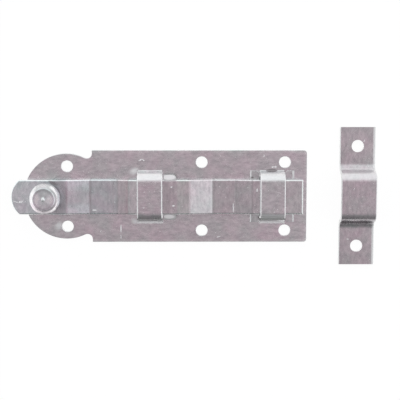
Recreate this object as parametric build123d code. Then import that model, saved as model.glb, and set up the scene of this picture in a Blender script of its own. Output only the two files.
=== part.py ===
"""Window bolt: a flat wave-bent bolt that slides in two bridges of its base plate, with a keeper.

Millimetres. The back of the base plate and of the keeper lie in the plane Z = 0, and +Z points
away from the window frame. +X is the way the bolt shoots, and the origin is the middle of the
base plate's back. The bolt is modelled drawn back.
"""
from build123d import *
from math import radians, sqrt, tan
import os

os.makedirs("parts", exist_ok=True)

# Sheet and running clearances
sheet_t = 1.5
edge_round = 0.5
slide_gap = 0.3
side_gap = 0.35
lift_gap = 0.2
stop_gap = 0.2

# Stroke of the bolt, and how far apart its two bridges stand
travel = 33.0
bridge_pitch = 51.7

# Base plate: a rectangle with a round head under the knob
plate_width = 39.0
plate_corner_r = 1.2
plate_edge_round = 0.2
front_margin = 14.8
head_r = 18.1
neck_depth = 5.0
neck_fillet = 2.1

# Screw holes of the base plate
screw_d = 4.8
head_hole_pitch_y = 25.6
head_hole_offset = 0.4
end_hole_margin = 9.4
body_hole_pitch_x = 35.2
hole_wall = 0.9

# Bridges pressed up out of the base plate
bridge_length = 10.6
bridge_side_gap = 1.6
bridge_bend_r = 4.0
bridge_root_r = 0.8
root_lap = 0.4

# Friction spring: an H of thin strip that the front bridge's legs hold, its ends turned down
spring_t = 0.5
lug_length = 4.05
lug_reach = 0.5
lug_corner_r = 1.0
lug_lift = 0.3
lug_lip = 0.7
lug_edge_round = 0.15
spring_crest = 3.2

# Bolt: flat strip, bent in a wave with the pitch of the bridges
bolt_t = 2.0
bolt_width = 14.6
tail_reach = 15.2
tip_setback = 2.0
bolt_tail_r = 9.3
bolt_edge_round = 0.6
wave_depth = 1.6
ramp_down = 9.7
ramp_up = 6.4
wave_bend_r = 6.0
knob_flat = 3.5
bridge_flat = 3.8

# Ears swaged out of the bolt's sides, which stop it at both ends of its travel
ear_gap = 0.6
ear_length = 5.3
ear_bite = 0.6
ear_edge_t = 1.0
ear_corner_r = 1.6

# Knob, turned in one piece and riveted through the bolt
knob_setback = 7.6
knob_d = 12.8
knob_h = 10.0
knob_face_d = 8.9
knob_shoulder_r = 4.5
knob_rim_h = 0.6
knob_neck_d = 9.0
knob_collar_h = 0.9
shank_d = 5.0
shank_fit = 0.02
tail_head_d = 7.6
tail_head_t = 1.0

# Keeper: a hat-shaped strap that stands by itself
keeper_gap = 13.8
keeper_width = 15.0
keeper_length = 58.5
keeper_corner_lap = 0.7
keeper_bend_r = 4.2
keeper_foot_r = 3.1
keeper_leg_angle = 75.0
keeper_hole_d = 5.2
keeper_hole_pitch_y = 42.5

# Levels of the stack, from the plate's back outwards
bolt_low_z = sheet_t + spring_t + lift_gap
bolt_high_z = bolt_low_z + wave_depth
bolt_top_z = bolt_high_z + bolt_t
crown_z = bolt_top_z + slide_gap
bridge_rise = crown_z

# Widths that follow from the bolt's
bridge_inner_w = bolt_width + 2 * bridge_side_gap
bridge_outer_w = bridge_inner_w + 2 * sheet_t
ear_span = bridge_inner_w + 2 * ear_bite
spring_width = bridge_outer_w + 2 * lug_reach

# Places along the bolt: head, knob, stroke, rear bridge, front bridge, front end
knob_to_bridge = knob_neck_d / 2 + stop_gap + travel + bridge_length / 2
plate_length = head_r - knob_setback + knob_to_bridge + bridge_pitch + front_margin
head_x = -plate_length / 2 + head_r
neck_y = plate_width / 2 - neck_depth
shoulder_x = head_x + sqrt(head_r**2 - neck_y**2)
knob_x = head_x - knob_setback
bridge_1_x = knob_x + knob_to_bridge
bridge_2_x = bridge_1_x + bridge_pitch
ear_x = bridge_1_x + bridge_length / 2 + ear_gap
bolt_tail_x = knob_x - tail_reach
bolt_tip_x = plate_length / 2 - tip_setback
keeper_x = plate_length / 2 + keeper_gap + keeper_width / 2

# Each dip of the wave fills the bolt between the knob and the rear bridge
dip_length = travel + stop_gap - knob_flat - bridge_flat
valley = dip_length - ramp_down - ramp_up
wave_x = bridge_1_x - bridge_length / 2 - bridge_flat - dip_length


def strap(corners, radii, thickness, width):
    """A strip that follows corners (y, z), bent to the given mid-line radii, width long in X."""
    line = FilletPolyline(*corners, radius=radii)
    return extrude(Plane.YZ * trace(line, line_width=thickness), amount=width / 2, both=True)


def round_long_edges(strip, half_width, radius):
    """Rounds the edges that run along both sheared sides of a strap, at X = +-half_width."""
    sides = [e for e in strip.edges() if abs(abs(e.center().X) - half_width) < 1e-4]
    along = [e for e in sides if abs(e.bounding_box().size.X) < 1e-4]
    return fillet([e for e in along if not is_end_edge(e, strip)], radius)


def is_end_edge(edge, strip):
    """True for the short edges across the thickness at the strap's two ends."""
    box = strip.bounding_box()
    y = abs(edge.center().Y)
    return edge.bounding_box().size.Y < 1e-4 and abs(y - box.max.Y) < 1e-4


# Base plate: outline, screw holes and the two slots that the bridges leave behind
body_length = plate_length / 2 - shoulder_x
body = Pos(shoulder_x + body_length / 2, 0) * Rectangle(body_length, plate_width)
front_corners = body.vertices().group_by(Axis.X)[-1]
body = fillet(front_corners, plate_corner_r)
outline = body + Pos(head_x, 0) * Circle(head_r)
neck = [v for v in outline.vertices() if abs(v.X - shoulder_x) < 1e-4 and abs(abs(v.Y) - neck_y) < 1e-3]
outline = fillet(neck, neck_fillet)

bridge_mid_y = bridge_outer_w / 2 - sheet_t / 2
root_mid_r = bridge_root_r + sheet_t / 2
slot_half = bridge_mid_y + root_mid_r
body_hole_y = slot_half + hole_wall + screw_d / 2
end_hole_x = plate_length / 2 - end_hole_margin
mid_hole_x = end_hole_x - body_hole_pitch_x
screw_places = [(head_x + head_hole_offset, s * head_hole_pitch_y / 2) for s in (-1, 1)]
screw_places += [(x, s * body_hole_y) for x in (mid_hole_x, end_hole_x) for s in (-1, 1)]
for x, y in screw_places:
    outline -= Pos(x, y) * Circle(screw_d / 2)

plate = extrude(outline, amount=sheet_t)
plate = fillet(plate.faces().sort_by(Axis.Z)[-1].edges(), plate_edge_round)

for x in (bridge_1_x, bridge_2_x):
    plate -= Pos(x, 0, sheet_t / 2) * Box(bridge_length, 2 * slot_half, 2 * sheet_t)

# Bridges, one with the plate: the sheet turns up at each root, over, and down again
mid_z = sheet_t / 2
bridge_corners = [
    (-slot_half - root_lap, mid_z),
    (-bridge_mid_y, mid_z),
    (-bridge_mid_y, mid_z + bridge_rise),
    (bridge_mid_y, mid_z + bridge_rise),
    (bridge_mid_y, mid_z),
    (slot_half + root_lap, mid_z),
]
bend_mid_r = bridge_bend_r - sheet_t / 2
bridge_radii = [root_mid_r, bend_mid_r, bend_mid_r, root_mid_r]
bridge = strap(bridge_corners, bridge_radii, sheet_t, bridge_length)
bridge = round_long_edges(bridge, bridge_length / 2, edge_round)
base_plate = plate + Pos(bridge_1_x, 0, 0) * bridge + Pos(bridge_2_x, 0, 0) * bridge

# Friction spring: flat lugs on the plate round the legs, and a crest under the bolt
notch_length = bridge_length + 2 * side_gap
web_half = bridge_inner_w / 2 - side_gap
notch_depth = spring_width / 2 - web_half
spring_length = bridge_length + 2 * lug_length
spring_plan = Rectangle(spring_length, spring_width)
for s in (-1, 1):
    notch = Rectangle(notch_length, 2 * notch_depth)
    spring_plan -= Pos(0, s * spring_width / 2) * notch
lug_corners = [v for v in spring_plan.vertices()
               if abs(abs(v.X) - notch_length / 2) < 1e-4 and abs(abs(v.Y) - spring_width / 2) < 1e-4]
spring_plan = fillet(lug_corners, lug_corner_r)

spring_low = sheet_t + spring_t / 2
spring_lug = spring_low + lug_lift
spring_high = bolt_high_z - slide_gap - spring_t / 2
crest_foot = bridge_length / 2 - spring_t
spring_line = FilletPolyline(
    (-spring_length / 2, spring_low),
    (-spring_length / 2 + lug_lip, spring_lug),
    (-crest_foot, spring_lug),
    (-spring_crest / 2, spring_high),
    (spring_crest / 2, spring_high),
    (crest_foot, spring_lug),
    (spring_length / 2 - lug_lip, spring_lug),
    (spring_length / 2, spring_low),
    radius=2 * spring_t,
)
spring_strip = Plane.XZ * trace(spring_line, line_width=spring_t)
spring = extrude(spring_strip, amount=spring_width / 2, both=True) & extrude(spring_plan, amount=crown_z)
lug_rims = [e for e in spring.edges()
            if e.bounding_box().min.Z > spring_lug
            and abs(e.center().X) > notch_length / 2 - 1e-3 and abs(e.center().Y) > web_half - 1e-3]
spring = fillet(lug_rims, lug_edge_round)
friction_spring = Pos(bridge_2_x, 0, 0) * spring

# Bolt: the wave runs along its length, and the tail is cut to an arc
high_mid = bolt_high_z + bolt_t / 2
low_mid = bolt_low_z + bolt_t / 2
wave = [(bolt_tail_x, high_mid)]
for x in (wave_x, wave_x + bridge_pitch):
    wave.append((x, high_mid))
    wave.append((x + ramp_down, low_mid))
    wave.append((x + ramp_down + valley, low_mid))
    wave.append((x + ramp_down + valley + ramp_up, high_mid))
wave.append((bolt_tip_x, high_mid))
wave_strip = Plane.XZ * trace(FilletPolyline(*wave, radius=wave_bend_r), line_width=bolt_t)

bolt_length = bolt_tip_x - bolt_tail_x
tail_centre = bolt_tail_x + bolt_tail_r
bolt_plan = Pos((tail_centre + bolt_tip_x) / 2, 0) * Rectangle(bolt_tip_x - tail_centre, bolt_width)
tail_plan = Pos(tail_centre, 0) * Circle(bolt_tail_r)
tail_plan &= Pos(tail_centre, 0) * Rectangle(2 * bolt_tail_r, bolt_width)
bolt_plan += tail_plan
bolt = extrude(wave_strip, amount=bolt_width, both=True) & extrude(bolt_plan, amount=2 * bolt_top_z)
upright = bolt.edges().filter_by(Axis.Z)
across = [e for e in bolt.edges().filter_by(Axis.Y) if abs(e.center().X - bolt_tip_x) > 1e-3]
skip = [e.center() for e in list(upright) + across]
rims = [e for e in bolt.edges() if all((e.center() - c).length > 1e-4 for c in skip)]
bolt = fillet(rims, bolt_edge_round)

# Ears: the strip's sides spread outwards by a punch, thin at their outer edge
ear_shape = Polygon(
    (-ear_span / 2, bolt_high_z + bolt_edge_round),
    (ear_span / 2, bolt_high_z + bolt_edge_round),
    (ear_span / 2, bolt_high_z + bolt_edge_round + ear_edge_t),
    (bolt_width / 2 - bolt_edge_round, bolt_top_z),
    (-bolt_width / 2 + bolt_edge_round, bolt_top_z),
    (-ear_span / 2, bolt_high_z + bolt_edge_round + ear_edge_t),
    align=None,
)
ear_bar = Pos(ear_x, 0, 0) * extrude(Plane.YZ * ear_shape, amount=ear_length)
ear_plan = Pos(ear_x + ear_length / 2, 0) * Rectangle(ear_length, ear_span)
ear_plan = fillet(ear_plan.vertices().group_by(Axis.X)[-1], ear_corner_r)
bolt += ear_bar & extrude(ear_plan, amount=2 * bolt_top_z)
bolt -= Pos(knob_x, 0, high_mid) * Cylinder(shank_d / 2 + shank_fit, 2 * bolt_t)
slide_bar = bolt

# Knob: rivet head, shank, collar, flared neck and a button whose round shoulder ends at a flat face
knob_top = bolt_top_z + knob_h
shoulder_reach = knob_face_d / 2 - (knob_d / 2 - knob_shoulder_r)
rim_top = knob_top - sqrt(knob_shoulder_r**2 - shoulder_reach**2)
rim_low = rim_top - knob_rim_h
collar_top = bolt_top_z + knob_collar_h
with BuildSketch(Plane.XZ) as knob_half:
    with BuildLine():
        foot = Line((0, bolt_high_z - tail_head_t), (tail_head_d / 2 - tail_head_t / 2, bolt_high_z - tail_head_t))
        Line(foot @ 1, (tail_head_d / 2, bolt_high_z - tail_head_t / 2))
        Line((tail_head_d / 2, bolt_high_z - tail_head_t / 2), (tail_head_d / 2, bolt_high_z))
        Line((tail_head_d / 2, bolt_high_z), (shank_d / 2, bolt_high_z))
        Line((shank_d / 2, bolt_high_z), (shank_d / 2, bolt_top_z))
        Line((shank_d / 2, bolt_top_z), (knob_neck_d / 2, bolt_top_z))
        Line((knob_neck_d / 2, bolt_top_z), (knob_neck_d / 2, collar_top))
        flare = TangentArc((knob_neck_d / 2, collar_top), (knob_d / 2, rim_low), tangent=(0, 1))
        Line((knob_d / 2, rim_low), (knob_d / 2, rim_top))
        RadiusArc((knob_d / 2, rim_top), (knob_face_d / 2, knob_top), -knob_shoulder_r)
        Line((knob_face_d / 2, knob_top), (0, knob_top))
        Line((0, knob_top), (0, bolt_high_z - tail_head_t))
    make_face()
knob = Pos(knob_x, 0, 0) * revolve(knob_half.sketch, Axis.Z)

# Keeper: the same rise as the bridges, on softer bends and two feet with a screw hole each
crown_half = bolt_width / 2 - keeper_corner_lap
crown_mid_r = keeper_bend_r - sheet_t / 2
foot_mid_r = keeper_foot_r + sheet_t / 2
crown_corner = crown_half + crown_mid_r * tan(radians(keeper_leg_angle / 2))
foot_corner = crown_corner + bridge_rise / tan(radians(keeper_leg_angle))
keeper_corners = [
    (-keeper_length / 2, mid_z),
    (-foot_corner, mid_z),
    (-crown_corner, mid_z + bridge_rise),
    (crown_corner, mid_z + bridge_rise),
    (foot_corner, mid_z),
    (keeper_length / 2, mid_z),
]
keeper_radii = [foot_mid_r, crown_mid_r, crown_mid_r, foot_mid_r]
keeper = strap(keeper_corners, keeper_radii, sheet_t, keeper_width)
keeper = round_long_edges(keeper, keeper_width / 2, edge_round)
for s in (-1, 1):
    keeper -= Pos(0, s * keeper_hole_pitch_y / 2, 0) * Cylinder(keeper_hole_d / 2, 4 * sheet_t)
keeper = Pos(keeper_x, 0, 0) * keeper

nodes = {
    "base_plate": base_plate,
    "friction_spring": friction_spring,
    "slide_bar": slide_bar,
    "knob": knob,
    "keeper": keeper,
}
for name, solid in nodes.items():
    export_step(solid, f"parts/{name}.step")

print(f"plate {plate_length:.2f} long, crown {crown_z:.2f}, bolt levels {bolt_low_z:.2f} and {bolt_high_z:.2f}")
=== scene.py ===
import math

import bmesh
import bpy
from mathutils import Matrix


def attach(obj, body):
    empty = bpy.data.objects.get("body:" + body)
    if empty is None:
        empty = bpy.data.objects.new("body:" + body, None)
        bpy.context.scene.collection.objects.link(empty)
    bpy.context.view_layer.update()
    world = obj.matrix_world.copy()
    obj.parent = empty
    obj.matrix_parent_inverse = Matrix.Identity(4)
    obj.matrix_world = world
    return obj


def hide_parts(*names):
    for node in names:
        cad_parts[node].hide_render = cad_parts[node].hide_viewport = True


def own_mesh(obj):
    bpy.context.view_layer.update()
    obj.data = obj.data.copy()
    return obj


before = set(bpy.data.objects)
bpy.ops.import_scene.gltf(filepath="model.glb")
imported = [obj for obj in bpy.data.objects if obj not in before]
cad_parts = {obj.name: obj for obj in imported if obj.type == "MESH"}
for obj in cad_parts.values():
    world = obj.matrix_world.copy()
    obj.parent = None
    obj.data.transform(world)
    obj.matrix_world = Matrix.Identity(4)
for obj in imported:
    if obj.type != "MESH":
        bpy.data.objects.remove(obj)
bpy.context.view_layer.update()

# ---------------------------------------------------------------- base plate and keeper
# One grade of 1.5 mm strip steel for both, blanked, bent in a press and barrel zinc plated. The
# plating is cloudy and finely grained along the rolling direction, brightened on the sheared
# edges partly by burnishing where the parts tumbled on each other and partly by painted
# highlight, and scratched here and there. Painted highlights and shade lie on the bridges' bends,
# legs and roots and on the keeper's edges, and pale painted reflections on the plate.

zinc_grey = (0.71, 0.668, 0.695)
zinc_cold = (0.665, 0.672, 0.677)
# The next two colours serve real speckles and scratches, and also painted light: the bright one
# painted highlights, the dark one painted shade.
burnish_and_highlight = (0.96, 0.955, 0.96)
soot_and_shade = (0.34, 0.32, 0.33)
cold_cloud = (0.945, 1.0, 0.98)
warm_cloud = (1.04, 0.98, 1.01)


def zinc_plating(name, dullness, grain):
    """Zinc plating on steel: cloudy, grained (scale of the grain along X, Y, Z) and speckled."""
    material = bpy.data.materials.new(name)
    material.use_nodes = True
    nodes, links = material.node_tree.nodes, material.node_tree.links
    shader = nodes["Principled BSDF"]
    shader.inputs["Metallic"].default_value = 1.0
    place = nodes.new("ShaderNodeTexCoord")
    place.name = "place"

    clouds = nodes.new("ShaderNodeTexNoise")
    clouds.inputs["Scale"].default_value = 190
    clouds.inputs["Detail"].default_value = 3
    links.new(place.outputs["Object"], clouds.inputs["Vector"])
    tints = nodes.new("ShaderNodeValToRGB")
    tints.color_ramp.elements[0].position = 0.36
    tints.color_ramp.elements[0].color = (*zinc_cold, 1)
    tints.color_ramp.elements[1].position = 0.62
    tints.color_ramp.elements[1].color = (*zinc_grey, 1)
    links.new(clouds.outputs["Fac"], tints.inputs["Fac"])

    rolled = nodes.new("ShaderNodeMapping")
    rolled.inputs["Scale"].default_value = grain
    links.new(place.outputs["Object"], rolled.inputs["Vector"])
    grains = nodes.new("ShaderNodeTexNoise")
    grains.inputs["Scale"].default_value = 1
    grains.inputs["Detail"].default_value = 4
    grains.inputs["Roughness"].default_value = 0.65
    links.new(rolled.outputs["Vector"], grains.inputs["Vector"])
    shades = nodes.new("ShaderNodeValToRGB")
    shades.color_ramp.elements[0].position = 0.3
    shades.color_ramp.elements[0].color = (0.83, 0.83, 0.84, 1)
    shades.color_ramp.elements[1].position = 0.7
    shades.color_ramp.elements[1].color = (1.18, 1.18, 1.17, 1)
    links.new(grains.outputs["Fac"], shades.inputs["Fac"])
    grained = nodes.new("ShaderNodeMix")
    grained.data_type = "RGBA"
    grained.blend_type = "MULTIPLY"
    grained.inputs[0].default_value = 1
    links.new(tints.outputs["Color"], grained.inputs[6])
    links.new(shades.outputs["Color"], grained.inputs[7])
    links.new(grained.outputs[2], shader.inputs["Base Color"])

    dulling = nodes.new("ShaderNodeMapRange")
    dulling.inputs["To Min"].default_value = dullness - 0.05
    dulling.inputs["To Max"].default_value = dullness + 0.05
    links.new(clouds.outputs["Fac"], dulling.inputs["Value"])
    links.new(dulling.outputs["Result"], shader.inputs["Roughness"])

    relief = nodes.new("ShaderNodeBump")
    relief.inputs["Strength"].default_value = 0.14
    relief.inputs["Distance"].default_value = 0.00002
    links.new(grains.outputs["Fac"], relief.inputs["Height"])
    links.new(relief.outputs["Normal"], shader.inputs["Normal"])

    dots = nodes.new("ShaderNodeTexNoise")
    dots.inputs["Scale"].default_value = 1900
    dots.inputs["Detail"].default_value = 0
    links.new(place.outputs["Object"], dots.inputs["Vector"])
    patches = nodes.new("ShaderNodeTexNoise")
    patches.inputs["Scale"].default_value = 75
    patches.inputs["Detail"].default_value = 2
    links.new(place.outputs["Object"], patches.inputs["Vector"])
    patch, dot = patches.outputs["Fac"], dots.outputs["Fac"]
    tone(material, both(material, fade(material, patch, 0.5, 0.62), 0.8), cold_cloud)
    tone(material, both(material, fade(material, patch, 0.46, 0.36), 0.8), warm_cloud)
    rub(material, fade(material, dot, 0.78, 0.86), burnish_and_highlight, 0.45)
    rub(material, both(material, fade(material, dot, 0.23, 0.16), 0.6), soot_and_shade, 0.5)
    return material


def fade(material, value, start, full):
    """0 up to start and 1 from full on, with a smooth step between."""
    step = material.node_tree.nodes.new("ShaderNodeMapRange")
    step.interpolation_type = "SMOOTHSTEP"
    step.inputs["From Min"].default_value = min(start, full)
    step.inputs["From Max"].default_value = max(start, full)
    step.inputs["To Min"].default_value = 0 if start < full else 1
    step.inputs["To Max"].default_value = 1 if start < full else 0
    material.node_tree.links.new(value, step.inputs["Value"])
    return step.outputs["Result"]


def band(material, value, rise, fall):
    """1 between two places: rise and fall each say where the slope meets 0 and where 1."""
    return both(material, fade(material, value, *rise), fade(material, value, *fall))


def both(material, first, second):
    """Where two masks overlap, or a mask at a part of its strength."""
    overlap = material.node_tree.nodes.new("ShaderNodeMath")
    overlap.operation = "MULTIPLY"
    material.node_tree.links.new(first, overlap.inputs[0])
    if isinstance(second, float):
        overlap.inputs[1].default_value = second
    else:
        material.node_tree.links.new(second, overlap.inputs[1])
    return overlap.outputs[0]


def rub(material, mask, colour, dullness):
    """Lays a rubbed, dented or stained finish, or a painted highlight or shade, over the plating
    where the mask is 1.
    """
    nodes, links = material.node_tree.nodes, material.node_tree.links
    shader = nodes["Principled BSDF"]
    below = shader.inputs["Base Color"].links[0].from_socket
    blend = nodes.new("ShaderNodeMix")
    blend.data_type = "RGBA"
    links.new(mask, blend.inputs[0])
    links.new(below, blend.inputs[6])
    blend.inputs[7].default_value = (*colour, 1)
    links.new(blend.outputs[2], shader.inputs["Base Color"])
    below = shader.inputs["Roughness"].links[0].from_socket
    blend = nodes.new("ShaderNodeMix")
    links.new(mask, blend.inputs[0])
    links.new(below, blend.inputs[2])
    blend.inputs[3].default_value = dullness
    links.new(blend.outputs[0], shader.inputs["Roughness"])


def facing(material, axis):
    """How far the surface faces along an axis of the metal, either way: 0 not at all, 1 fully."""
    nodes, links = material.node_tree.nodes, material.node_tree.links
    parts = nodes.new("ShaderNodeSeparateXYZ")
    links.new(nodes["place"].outputs["Normal"], parts.inputs[0])
    return absolute(material, parts.outputs[axis])


def along(material, axis, moved=None):
    """The place along one axis of the metal, in metres, or of a mapping that moved it."""
    nodes, links = material.node_tree.nodes, material.node_tree.links
    parts = nodes.new("ShaderNodeSeparateXYZ")
    where = moved.outputs["Vector"] if moved else nodes["place"].outputs["Object"]
    links.new(where, parts.inputs[0])
    return parts.outputs[axis]


def tone(material, mask, colour):
    """Shades the plating by a colour where the mask is 1, and keeps its grain."""
    nodes, links = material.node_tree.nodes, material.node_tree.links
    shader = nodes["Principled BSDF"]
    below = shader.inputs["Base Color"].links[0].from_socket
    blend = nodes.new("ShaderNodeMix")
    blend.data_type = "RGBA"
    blend.blend_type = "MULTIPLY"
    links.new(mask, blend.inputs[0])
    links.new(below, blend.inputs[6])
    blend.inputs[7].default_value = (*colour, 1)
    links.new(blend.outputs[2], shader.inputs["Base Color"])


def absolute(material, value):
    """The size of a value without its sign."""
    size = material.node_tree.nodes.new("ShaderNodeMath")
    size.operation = "ABSOLUTE"
    material.node_tree.links.new(value, size.inputs[0])
    return size.outputs[0]


def mark(material, x, y, length, width, turn=0.0, edge=0.5):
    """An oval mark seen from the front: middle, length and width in mm, turn in degrees."""
    nodes, links = material.node_tree.nodes, material.node_tree.links
    oval = nodes.new("ShaderNodeMapping")
    oval.vector_type = "TEXTURE"
    oval.inputs["Location"].default_value = (x / 1000, y / 1000, 0)
    oval.inputs["Rotation"].default_value = (0, 0, math.radians(turn))
    oval.inputs["Scale"].default_value = (length / 2000, width / 2000, 1)
    links.new(nodes["place"].outputs["Object"], oval.inputs["Vector"])
    ball = nodes.new("ShaderNodeTexGradient")
    ball.gradient_type = "SPHERICAL"
    links.new(oval.outputs["Vector"], ball.inputs["Vector"])
    return fade(material, ball.outputs["Fac"], 0, edge)


# Marks: middle x and y, length and width in mm, turn in degrees
scratches_on_plate = (
    (-18.93, -13.8, 4.2, 0.75, 90),
    (-18.95, -17.4, 2.0, 0.4, 90),
    (-10.5, 15.4, 2.0, 0.6, 25),
    (-9.3, 15.35, 1.6, 0.6, -30),
    (45.4, 12.4, 1.1, 0.9, 0),
    (46.6, 12.5, 1.2, 0.9, 0),
    (41.7, 17.2, 1.4, 0.4, 90),
    (-8.9, -4.2, 0.8, 0.5, 80),
    (-8.7, 2.4, 0.5, 0.5, 0),
    (22.6, -17.3, 2.2, 0.35, 20),
    (-27.5, -15.0, 1.6, 0.35, 70),
)
# Painted pale reflections on the plate beside the rear bridge and below the knob.
pale_reflections_on_plate = (
    (-13.2, 10.6, 6.0, 4.2, 25),
    (-13.0, -10.6, 4.6, 3.4, -20),
    (-45.2, -12.6, 6.0, 5.0, 40),
)
scratches_on_strap = (
    (77.6, -18.4, 1.0, 0.6, 0),
    (84.0, 23.5, 1.4, 0.35, 60),
    (79.0, 3.5, 1.2, 0.3, 75),
)
bridge_left_sides = (-0.01185, 0.03985)
bridge_spans = ((-0.0118, -0.0012), (0.0399, 0.0505))
lighter_rim = (1.12, 1.19, 1.15)
bend_shade_colour = (0.4, 0.4, 0.4)
shaded_underside = (0.87, 0.84, 0.85)
pale_edge_highlight = (0.84, 0.84, 0.84)

zinc_plate = zinc_plating("zinc_plated_sheet", 0.27, (420, 900, 900))
# Sheared edges facing along X, brightened: partly burnished, partly painted highlight.
sheared_edge_sheen = fade(zinc_plate, facing(zinc_plate, "X"), 0.12, 0.5)
rub(zinc_plate, sheared_edge_sheen, burnish_and_highlight, 0.5)
for x, y, length, width, turn in scratches_on_plate:
    rub(zinc_plate, mark(zinc_plate, x, y, length, width, turn), burnish_and_highlight, 0.8)
# Painted pale reflections, laid on as a rough bright finish.
for x, y, length, width, turn in pale_reflections_on_plate:
    reflection_mark = both(zinc_plate, mark(zinc_plate, x, y, length, width, turn, 1.0), 0.8)
    rub(zinc_plate, reflection_mark, burnish_and_highlight, 0.8)
# A darker line on the plate along the back root of the front bridge.
dark_line_behind_bridge = mark(zinc_plate, 45.0, 11.0, 5.8, 1.5, 0, 0.3)
rub(zinc_plate, dark_line_behind_bridge, soot_and_shade, 0.5)
plate_x, plate_y, plate_z = (along(zinc_plate, axis) for axis in "XYZ")
raised = fade(zinc_plate, plate_z, 0.002, 0.0026)
# Painted highlight on the bridges' left sides, which face the light.
for left in bridge_left_sides:
    bridge_left_highlight = band(zinc_plate, plate_x, (left - 0.0002, left), (left + 0.0008, left + 0.0004))
    rub(zinc_plate, both(zinc_plate, bridge_left_highlight, raised), burnish_and_highlight, 0.55)
# Painted highlight along the front roots of both bridges.
root_highlight = band(zinc_plate, plate_y, (-0.0100, -0.0103), (-0.0118, -0.0113))
for left, right in bridge_spans:
    under = band(zinc_plate, plate_x, (left - 0.0004, left), (right + 0.0004, right))
    rub(zinc_plate, both(zinc_plate, root_highlight, under), burnish_and_highlight, 0.85)
front_bridge = fade(zinc_plate, plate_x, 0.038, 0.039)
# Painted highlight on the front bridge's front bend and leg.
front_bend_highlight = both(zinc_plate, fade(zinc_plate, plate_y, -0.0068, -0.0076), front_bridge)
rub(zinc_plate, both(zinc_plate, both(zinc_plate, front_bend_highlight, raised), 0.7), burnish_and_highlight, 0.45)
# Painted highlight on the bridges' back bends.
back_bend_highlight = both(zinc_plate, fade(zinc_plate, plate_y, 0.0066, 0.0078), raised)
rub(zinc_plate, both(zinc_plate, back_bend_highlight, 0.6), burnish_and_highlight, 0.3)
# Painted shade on the steep front bends of both bridges.
steep_bend_shade = band(zinc_plate, plate_y, (-0.0086, -0.009), (-0.0099, -0.0096))
tone(zinc_plate, both(zinc_plate, steep_bend_shade, raised), bend_shade_colour)
# Painted highlight low on the bridges' front legs.
front_leg_highlight = both(zinc_plate, fade(zinc_plate, plate_y, -0.0097, -0.01), raised)
rub(zinc_plate, front_leg_highlight, burnish_and_highlight, 0.4)
# A lighter, cooler rim along the plate's outer edges.
long_rim = fade(zinc_plate, absolute(zinc_plate, plate_y), 0.0181, 0.0188)
tone(zinc_plate, both(zinc_plate, long_rim, 0.5), lighter_rim)
end_rim = fade(zinc_plate, plate_x, 0.0585, 0.0592)
tone(zinc_plate, both(zinc_plate, end_rim, 0.5), lighter_rim)
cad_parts["base_plate"].material_slots[0].material = zinc_plate

zinc_strap = zinc_plating("zinc_plated_strap", 0.27, (900, 420, 900))
strap_x, strap_y, strap_z = (along(zinc_strap, axis) for axis in "XYZ")
tone(zinc_strap, fade(zinc_strap, strap_z, -0.001, 0.0), shaded_underside)
# Sheared edges facing along X, brightened: partly burnished, partly painted highlight.
sheared_edge_sheen = fade(zinc_strap, facing(zinc_strap, "X"), 0.12, 0.5)
rub(zinc_strap, sheared_edge_sheen, burnish_and_highlight, 0.5)
for x, y, length, width, turn in scratches_on_strap:
    rub(zinc_strap, mark(zinc_strap, x, y, length, width, turn), burnish_and_highlight, 0.8)
raised = fade(zinc_strap, strap_z, 0.002, 0.0026)
# Painted highlight on the keeper's back bend.
back_bend_highlight = both(zinc_strap, fade(zinc_strap, strap_y, 0.0062, 0.0088), raised)
rub(zinc_strap, both(zinc_strap, back_bend_highlight, 0.5), burnish_and_highlight, 0.3)
# Painted highlights on the keeper's right edges, at the feet and all along, and on its left edge.
right_rim = fade(zinc_strap, strap_x, 0.0877, 0.0879)
foot_edge_highlight = both(zinc_strap, right_rim, fade(zinc_strap, strap_z, 0.0026, 0.0018))
rub(zinc_strap, foot_edge_highlight, pale_edge_highlight, 0.55)
outer_right_rim = fade(zinc_strap, strap_x, 0.0883, 0.0886)
rub(zinc_strap, both(zinc_strap, outer_right_rim, 0.7), pale_edge_highlight, 0.55)
left_rim = fade(zinc_strap, strap_x, 0.0743, 0.0740)
rub(zinc_strap, both(zinc_strap, left_rim, 0.8), pale_edge_highlight, 0.55)
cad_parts["keeper"].material_slots[0].material = zinc_strap

# ---------------------------------------------------------------- friction spring
# A thin H of spring strip held by the front bridge's legs, zinc plated like the rest. Its cut
# edges carry painted highlights, except across its front end, where they carry painted shade,
# and painted shade darkens its inner corners.

spring_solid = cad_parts["friction_spring"]
spring_mesh = bmesh.new()
spring_mesh.from_mesh(spring_solid.data)
bmesh.ops.remove_doubles(spring_mesh, verts=spring_mesh.verts, dist=0.000001)
spring_data = bpy.data.meshes.new("pressed_spring")
spring_mesh.to_mesh(spring_data)
spring_mesh.free()
pressed_spring = bpy.data.objects.new("pressed_spring", spring_data)
bpy.context.scene.collection.objects.link(pressed_spring)
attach(pressed_spring, "base")
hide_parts("friction_spring")

lug_face = (0.9, 0.945, 0.925)
spring_front_edge_shade = (0.66, 0.65, 0.655)
# Painted shade in the inner corners: middle x and y, length and width in mm
shade_in_corners = ((36.7, 8.0, 1.6, 1.2), (39.6, -8.9, 1.2, 1.0))

zinc_spring = zinc_plating("zinc_plated_spring_strip", 0.3, (900, 900, 900))
tone(zinc_spring, fade(zinc_spring, facing(zinc_spring, "Z"), 0.8, 0.95), lug_face)
spring_x = along(zinc_spring, "X")
# Cut edges across the strip: painted highlight at the rear end, painted shade at the front end.
cut_across = fade(zinc_spring, facing(zinc_spring, "X"), 0.15, 0.5)
rear_end = fade(zinc_spring, spring_x, 0.046, 0.045)
front_end = fade(zinc_spring, spring_x, 0.045, 0.046)
rub(zinc_spring, both(zinc_spring, cut_across, rear_end), burnish_and_highlight, 0.5)
rub(zinc_spring, both(zinc_spring, cut_across, front_end), spring_front_edge_shade, 0.5)
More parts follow.
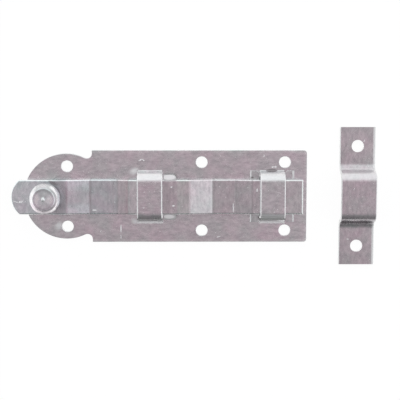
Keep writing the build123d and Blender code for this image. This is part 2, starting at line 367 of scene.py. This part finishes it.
# Painted highlight on the cut edges along the strip.
long_cut_sheen = fade(zinc_spring, facing(zinc_spring, "Y"), 0.3, 0.6)
rub(zinc_spring, long_cut_sheen, burnish_and_highlight, 0.5)
for x, y, length, width in shade_in_corners:
    rub(zinc_spring, mark(zinc_spring, x, y, length, width), soot_and_shade, 0.5)
spring_data.materials.append(zinc_spring)
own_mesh(pressed_spring)

# ---------------------------------------------------------------- bolt
# Flat bar, drawn, bent in a wave in a press, with two ears swaged out of its sides by a punch,
# which left them rough. Across its bends lie painted shade and painted highlight, along it
# painted tints for the colours its stretches reflect, on its edges and ears painted highlights,
# and round the knob and right of the rear bridge painted shadows.

# Lines of painted shade in the bends and painted highlight on the creases, across the bar: x and
# half width in mm, finish, strength
bend_shade_and_highlight_lines = (
    (-31.5, 0.9, soot_and_shade, 0.4),
    (-20.1, 0.8, soot_and_shade, 0.45),
    (-15.5, 0.5, soot_and_shade, 0.3),
    (10.3, 0.7, burnish_and_highlight, 0.4),
    (19.4, 0.6, burnish_and_highlight, 0.3),
    (20.5, 0.9, soot_and_shade, 0.35),
    (29.8, 0.5, soot_and_shade, 0.3),
    (36.6, 0.7, soot_and_shade, 0.4),
)
# Bands of painted reflection tint across the bar, in metres along it: where each side meets 0 and
# 1, and its tone
reflection_tint_bands = (
    ((-0.0165, -0.0148), (-0.009, -0.011), (1.01, 1.12, 1.07)),
    ((0.0045, 0.0055), (0.0102, 0.0096), (1.03, 1.11, 1.06)),
    ((-0.0201, -0.0197), (-0.0153, -0.0158), (1.01, 0.95, 0.955)),
    ((0.01, 0.0106), (0.0199, 0.0193), (1.02, 0.97, 0.99)),
)
# Painted shadows of the knob and the rear bridge on the bar: middle x and y, length and width in
# mm, turn in degrees, and a shadow's strength
painted_shadows_on_bar = (
    (-46.9, 6.0, 5.4, 1.6, -25, 0.8),
    (-50.2, -6.0, 4.4, 1.2, 0, 0.8),
    (0.2, 0.0, 6.0, 16.0, 0, 0.25),
)
scratches_on_bar = (
    (-62.4, -1.9, 3.2, 0.5, -15),
    (-60.5, -1.9, 2.6, 1.2, 25),
    (2.7, 4.3, 0.9, 0.9, 0),
    (3.5, -3.6, 0.9, 1.2, 90),
    (28.7, -4.6, 5.0, 0.6, 90),
    (38.6, 3.0, 1.8, 0.8, 90),
    (-29.9, -5.6, 2.2, 0.8, 0),
)
cold_half = (0.955, 1.02, 1.03)
bright_tail = (1.18, 1.22, 1.2)
cold_tip = (1.01, 1.07, 1.04)
punched = (0.62, 0.63, 0.63)
knob_shadow_on_bar = (0.755, 0.755, 0.755)
reflection_on_ramp_sides = (1.19, 1.14, 1.17)
reflection_in_ramp_middle = (1.02, 0.935, 0.96)

zinc_bar = zinc_plating("zinc_plated_bar", 0.22, (800, 420, 800))
# The bar's rounded edges, brightened: partly burnished, partly painted highlight.
long_edge_sheen = fade(zinc_bar, facing(zinc_bar, "Y"), 0.35, 0.7)
rub(zinc_bar, long_edge_sheen, burnish_and_highlight, 0.42)
tip_edge_sheen = fade(zinc_bar, facing(zinc_bar, "X"), 0.4, 0.7)
rub(zinc_bar, tip_edge_sheen, burnish_and_highlight, 0.45)
bar_x = along(zinc_bar, "X")
# Painted reflection tints: a cooler left half and a lighter tail.
tone(zinc_bar, fade(zinc_bar, bar_x, -0.014, -0.026), cold_half)
tone(zinc_bar, fade(zinc_bar, bar_x, -0.044, -0.053), bright_tail)
# Painted shade in the bends and painted highlight on the creases.
for x, width, colour, strength in bend_shade_and_highlight_lines:
    line = band(
        zinc_bar, bar_x, ((x - width) / 1000, x / 1000), ((x + width) / 1000, x / 1000)
    )
    rub(zinc_bar, both(zinc_bar, line, strength), colour, 0.4)
# Painted reflection tints in bands along the bar, and on its tip.
for rise, fall, colour in reflection_tint_bands:
    tone(zinc_bar, band(zinc_bar, bar_x, rise, fall), colour)
tone(zinc_bar, fade(zinc_bar, bar_x, 0.0505, 0.0512), cold_tip)
ear_stretch = band(zinc_bar, bar_x, (-0.0009, -0.0004), (0.0052, 0.0045))
across = absolute(zinc_bar, along(zinc_bar, "Y"))
swaged = both(zinc_bar, ear_stretch, fade(zinc_bar, across, 0.0068, 0.0074))
rub(zinc_bar, swaged, punched, 0.5)
# Painted highlights in the middles of the ears, to make them look rounded.
rear_ear_highlight = mark(zinc_bar, 1.7, 8.4, 6.6, 2.6, 0, 0.4)
rub(zinc_bar, rear_ear_highlight, burnish_and_highlight, 0.6)
front_ear_highlight = mark(zinc_bar, 1.6, -8.2, 6.2, 2.2, 0, 0.5)
rub(zinc_bar, front_ear_highlight, burnish_and_highlight, 0.6)
# Painted shadow of the knob on the bar around it.
tone(zinc_bar, mark(zinc_bar, -44.8, 0.3, 9.0, 22.0, 0, 0.5), knob_shadow_on_bar)
# Painted reflection on the first ramp of the wave: lighter at its sides, mauve in its middle.
first_ramp = band(zinc_bar, bar_x, (-0.0418, -0.0412), (-0.0312, -0.0322))
sides, middle = fade(zinc_bar, across, 0.0025, 0.0055), fade(zinc_bar, across, 0.004, 0.0015)
tone(zinc_bar, both(zinc_bar, first_ramp, sides), reflection_on_ramp_sides)
tone(zinc_bar, both(zinc_bar, first_ramp, middle), reflection_in_ramp_middle)
# Painted shadows beside the knob and right of the rear bridge.
for x, y, length, width, turn, strength in painted_shadows_on_bar:
    shadow_mark = both(zinc_bar, mark(zinc_bar, x, y, length, width, turn, 0.5), strength)
    rub(zinc_bar, shadow_mark, soot_and_shade, 0.3)
for x, y, length, width, turn in scratches_on_bar:
    rub(zinc_bar, mark(zinc_bar, x, y, length, width, turn), burnish_and_highlight, 0.8)
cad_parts["slide_bar"].material_slots[0].material = zinc_bar

# ---------------------------------------------------------------- knob
# Turned from steel bar on an automatic lathe, so its face has fine rings and a bright pip in the
# centre where it was parted off. Plated, then riveted to the bolt. Painted highlights lie on its
# left side, on its face left and right of the centre and on its outer right shoulder, painted
# shade under its head, on its front, round its face and on its inner right shoulder.

bright_face = (1.05, 1.11, 1.1)
lit_left_side = (1.42, 1.4, 1.4)
glint_of_rings = (1.42, 1.4, 1.42)
shade_of_rings = (0.92, 0.95, 0.94)
shaded_neck = (0.62, 0.6, 0.61)
face_rim_shade = (0.8, 0.79, 0.8)
inner_shoulder_shade = (0.68, 0.68, 0.68)
outer_shoulder_highlight = (1.5, 1.5, 1.5)
knob_front_shade = (0.58, 0.57, 0.58)

zinc_knob = zinc_plating("zinc_plated_turned_steel", 0.26, (700, 700, 700))
nodes, links = zinc_knob.node_tree.nodes, zinc_knob.node_tree.links
shader = nodes["Principled BSDF"]
centred = nodes.new("ShaderNodeMapping")
centred.inputs["Location"].default_value = (0.0495, 0, 0)
links.new(nodes["place"].outputs["Object"], centred.inputs["Vector"])
flattened = nodes.new("ShaderNodeVectorMath")
flattened.operation = "MULTIPLY"
flattened.inputs[1].default_value = (1, 1, 0)
links.new(centred.outputs["Vector"], flattened.inputs[0])
rings = nodes.new("ShaderNodeTexWave")
rings.wave_type = "RINGS"
rings.rings_direction = "SPHERICAL"
rings.inputs["Scale"].default_value = 900
rings.inputs["Distortion"].default_value = 0.6
links.new(flattened.outputs[0], rings.inputs["Vector"])
turning = nodes.new("ShaderNodeBump")
turning.inputs["Strength"].default_value = 0.5
turning.inputs["Distance"].default_value = 0.00003
links.new(rings.outputs["Fac"], turning.inputs["Height"])
links.new(shader.inputs["Normal"].links[0].from_socket, turning.inputs["Normal"])
parted = mark(zinc_knob, -49.6, 0.1, 1.8, 2.2, 0, 1.0)
rub(zinc_knob, parted, burnish_and_highlight, 0.35)
pip = nodes.new("ShaderNodeBump")
pip.inputs["Distance"].default_value = 0.00025
links.new(parted, pip.inputs["Height"])
links.new(turning.outputs["Normal"], pip.inputs["Normal"])
links.new(pip.outputs["Normal"], shader.inputs["Normal"])

knob_x, knob_y = along(zinc_knob, "X", centred), along(zinc_knob, "Y", centred)
knob_z = along(zinc_knob, "Z")
wedge = nodes.new("ShaderNodeMath")
wedge.operation = "SUBTRACT"
links.new(absolute(zinc_knob, knob_x), wedge.inputs[0])
links.new(absolute(zinc_knob, knob_y), wedge.inputs[1])
from_centre = nodes.new("ShaderNodeVectorMath")
from_centre.operation = "LENGTH"
links.new(flattened.outputs[0], from_centre.inputs[0])
knob_r = from_centre.outputs["Value"]

face = fade(zinc_knob, knob_z, 0.0155, 0.0157)
tone(zinc_knob, face, bright_face)
# Painted highlight on the knob's left side, where the light falls.
left_side = fade(zinc_knob, knob_x, -0.0028, -0.0042)
below_face = fade(zinc_knob, knob_z, 0.0157, 0.0155)
tone(zinc_knob, both(zinc_knob, left_side, below_face), lit_left_side)
sideways = fade(zinc_knob, wedge.outputs[0], -0.001, 0.0025)
tone(zinc_knob, both(zinc_knob, face, sideways), glint_of_rings)
lengthways = fade(zinc_knob, wedge.outputs[0], -0.001, -0.004)
tone(zinc_knob, both(zinc_knob, face, lengthways), shade_of_rings)
# Painted shade under the knob's head.
tone(zinc_knob, fade(zinc_knob, knob_z, 0.0121, 0.0113), shaded_neck)
# Painted shade round the edge of the face.
face_edge = band(zinc_knob, knob_r, (0.0033, 0.0038), (0.0045, 0.0043))
tone(zinc_knob, face_edge, face_rim_shade)
# On the right: painted shade on the inner shoulder, painted highlight on the outer.
right_side = fade(zinc_knob, knob_x, 0.002, 0.0035)
inner_shoulder = band(zinc_knob, knob_r, (0.0044, 0.0046), (0.0055, 0.0051))
tone(zinc_knob, both(zinc_knob, right_side, inner_shoulder), inner_shoulder_shade)
outer_shoulder = band(zinc_knob, knob_r, (0.0052, 0.0056), (0.0063, 0.006))
tone(zinc_knob, both(zinc_knob, right_side, outer_shoulder), outer_shoulder_highlight)
# Painted shade on the knob's front side.
front_side = fade(zinc_knob, knob_y, -0.0046, -0.0062)
tone(zinc_knob, front_side, knob_front_shade)
# Painted highlight right of the face's centre.
right_glint = both(zinc_knob, mark(zinc_knob, -47.3, 0.5, 1.6, 1.2), 0.7)
rub(zinc_knob, right_glint, burnish_and_highlight, 0.4)
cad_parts["knob"].material_slots[0].material = zinc_knob

# ---------------------------------------------------------------- table
# A plain white table, seamless in the picture, which keeps a faint shadow of the object.

table_mesh = bmesh.new()
below_the_plate = (0, 0, -0.0004)
bmesh.ops.create_grid(table_mesh, x_segments=1, y_segments=1, size=1.5)
bmesh.ops.translate(table_mesh, verts=table_mesh.verts, vec=below_the_plate)
table_data = bpy.data.meshes.new("table")
table_mesh.to_mesh(table_data)
table_mesh.free()
table = bpy.data.objects.new("table", table_data)
bpy.context.scene.collection.objects.link(table)

table_white = bpy.data.materials.new("table_white")
table_white.use_nodes = True
nodes, links = table_white.node_tree.nodes, table_white.node_tree.links
nodes.remove(nodes["Principled BSDF"])
shadow_catching = (0.1, 0.1, 0.1, 1)
paper_brightness = 0.93
paper = nodes.new("ShaderNodeBsdfDiffuse")
paper.inputs["Color"].default_value = shadow_catching
glow = nodes.new("ShaderNodeEmission")
path = nodes.new("ShaderNodeLightPath")
glossy = nodes.new("ShaderNodeMath")
glossy.operation = "ADD"
links.new(path.outputs["Is Glossy Ray"], glossy.inputs[0])
links.new(path.outputs["Is Transmission Ray"], glossy.inputs[1])
seen = nodes.new("ShaderNodeMath")
seen.operation = "ADD"
seen.use_clamp = True
links.new(path.outputs["Is Camera Ray"], seen.inputs[0])
links.new(glossy.outputs[0], seen.inputs[1])
strength = nodes.new("ShaderNodeMath")
strength.operation = "MULTIPLY"
strength.inputs[1].default_value = paper_brightness
links.new(seen.outputs[0], strength.inputs[0])
links.new(strength.outputs[0], glow.inputs["Strength"])
lit = nodes.new("ShaderNodeAddShader")
links.new(paper.outputs[0], lit.inputs[0])
links.new(glow.outputs[0], lit.inputs[1])
links.new(lit.outputs[0], nodes["Material Output"].inputs["Surface"])
table_data.materials.append(table_white)

# ---------------------------------------------------------------- light tent
# Soft light from all round: a pale tent that is dimmer and a little mauve straight above, where
# the camera's opening is, brightest behind the object and at its sides, and shaded in front.

world = bpy.data.worlds.new("light_tent")
bpy.context.scene.world = world
world.use_nodes = True
nodes, links = world.node_tree.nodes, world.node_tree.links
way = nodes.new("ShaderNodeTexCoord")
axes = nodes.new("ShaderNodeSeparateXYZ")
links.new(way.outputs["Generated"], axes.inputs[0])
brightest = 4.0


def tent_wall(axis, stops):
    """A value along one axis of the tent, as (direction from -1 to 1, value up to brightest)."""
    span = nodes.new("ShaderNodeMapRange")
    span.inputs["From Min"].default_value = -1
    links.new(axes.outputs[axis], span.inputs["Value"])
    wall = nodes.new("ShaderNodeValToRGB")
    while len(wall.color_ramp.elements) < len(stops):
        wall.color_ramp.elements.new(0.5)
    for stop, (where, value) in zip(wall.color_ramp.elements, stops):
        stop.position = (where + 1) / 2
        stop.color = (value / brightest, value / brightest, value / brightest, 1)
    links.new(span.outputs["Result"], wall.inputs["Fac"])
    return product(wall.outputs["Color"], brightest)


def product(first, second):
    """Two values of the tent multiplied, or one value by a number."""
    times = nodes.new("ShaderNodeMath")
    times.operation = "MULTIPLY"
    links.new(first, times.inputs[0])
    if isinstance(second, float):
        times.inputs[1].default_value = second
    else:
        links.new(second, times.inputs[1])
    return times.outputs[0]


side_to_side = tent_wall("X", [
    (-1, 3.6), (-0.78, 2.9), (-0.65, 1.4), (-0.55, 0.85), (-0.3, 0.93), (-0.17, 1.1),
    (-0.09, 1.04), (-0.03, 1.0), (0.12, 0.96), (0.19, 0.97), (0.27, 1.45), (0.35, 1.9),
    (0.5, 2.1), (0.75, 2.9), (1, 3.6),
])
front_to_back = tent_wall("Y", [
    (-1, 0.42), (-0.9, 0.38), (-0.7, 0.46), (-0.5, 0.62), (-0.3, 0.86), (-0.18, 1.0), (0.02, 1.0),
    (0.1, 1.2), (0.28, 1.8), (0.46, 2.4), (0.65, 2.8), (0.85, 2.8), (1, 2.4),
])
lamp_level = 0.475
brightest_cloth = 1.0
level = product(product(side_to_side, front_to_back), lamp_level)
limit = nodes.new("ShaderNodeMath")
limit.operation = "MINIMUM"
limit.inputs[1].default_value = brightest_cloth
links.new(level, limit.inputs[0])

white_cloth = (1, 1.015, 1.03)
mauve_cloth = (1.05, 0.86, 0.935)
mauve_sides = tent_wall("X", [
    (-1, 0), (-0.62, 0), (-0.5, 0.65), (-0.28, 0.7), (-0.21, 0.35), (-0.14, 0.4), (-0.09, 0.9),
    (-0.03, 1), (0.17, 1), (0.26, 0), (1, 0),
])
mauve_depth = tent_wall("Y", [(-1, 0), (-0.5, 0), (-0.3, 1), (0.1, 1), (0.28, 0), (1, 0)])
tint = nodes.new("ShaderNodeMix")
tint.data_type = "RGBA"
links.new(product(mauve_sides, mauve_depth), tint.inputs[0])
tint.inputs[6].default_value = (*white_cloth, 1)
tint.inputs[7].default_value = (*mauve_cloth, 1)
tent = nodes["Background"]
links.new(tint.outputs[2], tent.inputs["Color"])
links.new(limit.outputs[0], tent.inputs["Strength"])

paper_white = nodes.new("ShaderNodeBackground")
paper_white.inputs["Color"].default_value = (1, 1, 1, 1)
path = nodes.new("ShaderNodeLightPath")
shown = nodes.new("ShaderNodeMixShader")
links.new(path.outputs["Is Camera Ray"], shown.inputs["Fac"])
links.new(tent.outputs[0], shown.inputs[1])
links.new(paper_white.outputs[0], shown.inputs[2])
links.new(shown.outputs[0], nodes["World Output"].inputs["Surface"])

# ---------------------------------------------------------------- camera
# Nearly straight above the bolt, from a little behind it.

camera = bpy.data.objects.new("camera", bpy.data.cameras.new("camera"))
camera.location = (0.012093, 0.039883, 0.4)
camera.rotation_euler = (math.radians(-5.9424), math.radians(-0.37), 0)
camera.data.lens = 85.0
camera.data.sensor_width = 36
camera.data.clip_start = 0.01
bpy.context.scene.collection.objects.link(camera)
bpy.context.scene.camera = camera

bpy.context.scene.view_settings.view_transform = "Standard"
